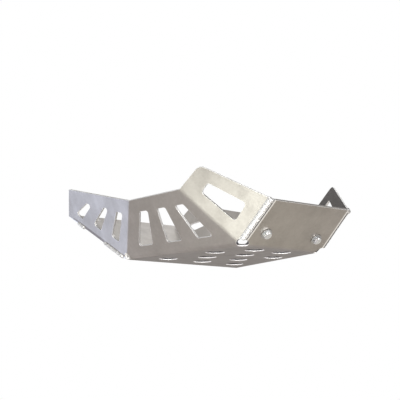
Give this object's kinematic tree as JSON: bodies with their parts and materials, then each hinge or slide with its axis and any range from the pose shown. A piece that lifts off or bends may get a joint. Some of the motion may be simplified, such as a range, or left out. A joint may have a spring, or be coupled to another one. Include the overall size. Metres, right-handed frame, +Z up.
{
  "type": "motorcycle skid plate",
  "caption": "Folded and welded sheet-metal guard tray for the underside of a motorcycle engine, with drain holes, fan-shaped side slots, flap windows and bolted mounts.",
  "frame": {"origin": "centre of the bounding box at the level of the flat bottom", "axes": "+X towards the front of the motorcycle, +Y to its left, +Z up"},
  "size_m": [0.5574, 0.3612, 0.1556],
  "materials": {
    "aluminium_sheet": "satin mill finish",
    "zinc_steel": "bright zinc"
  },
  "bodies": {
    "root": {"skid_plate": "aluminium_sheet", "front_bolts": "zinc_steel", "front_washers": "zinc_steel"}
  },
  "joints": []
}
